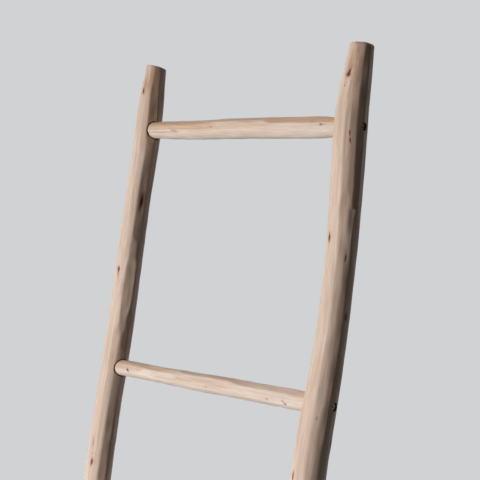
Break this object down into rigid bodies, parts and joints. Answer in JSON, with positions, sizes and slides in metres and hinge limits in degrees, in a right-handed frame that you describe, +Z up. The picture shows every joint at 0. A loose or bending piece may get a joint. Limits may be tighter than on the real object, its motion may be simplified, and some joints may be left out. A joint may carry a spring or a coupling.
{
  "type": "pole ladder rack",
  "caption": "Rustic leaning ladder rack of peeled, naturally bent wooden poles, with pared round rungs let into the stiles and drawn up by recessed screws, for hanging quilts or towels.",
  "frame": {"origin": "on the floor, in the middle of the leaning rack's outline", "axes": "+X along the rungs to the right of someone facing the rack, +Y towards the wall it leans on, +Z up"},
  "size_m": [0.4536, 0.3662, 1.7789],
  "materials": {
    "stile_wood": "bare peeled pole, shaved with a drawknife, pale pinkish beige with small red-brown pin knots",
    "rung_wood": "bare peeled pole, pared with a knife, paler than the stiles",
    "screw_steel": "zinc plated"
  },
  "bodies": {
    "root": {"left_stile": "stile_wood", "right_stile": "stile_wood", "bottom_rung": "rung_wood", "second_rung": "rung_wood", "third_rung": "rung_wood", "fourth_rung": "rung_wood", "top_rung": "rung_wood", "left_screw_1": "screw_steel", "left_screw_2": "screw_steel", "left_screw_3": "screw_steel", "left_screw_4": "screw_steel", "left_screw_5": "screw_steel", "right_screw_1": "screw_steel", "right_screw_2": "screw_steel", "right_screw_3": "screw_steel", "right_screw_4": "screw_steel", "right_screw_5": "screw_steel"}
  },
  "joints": []
}
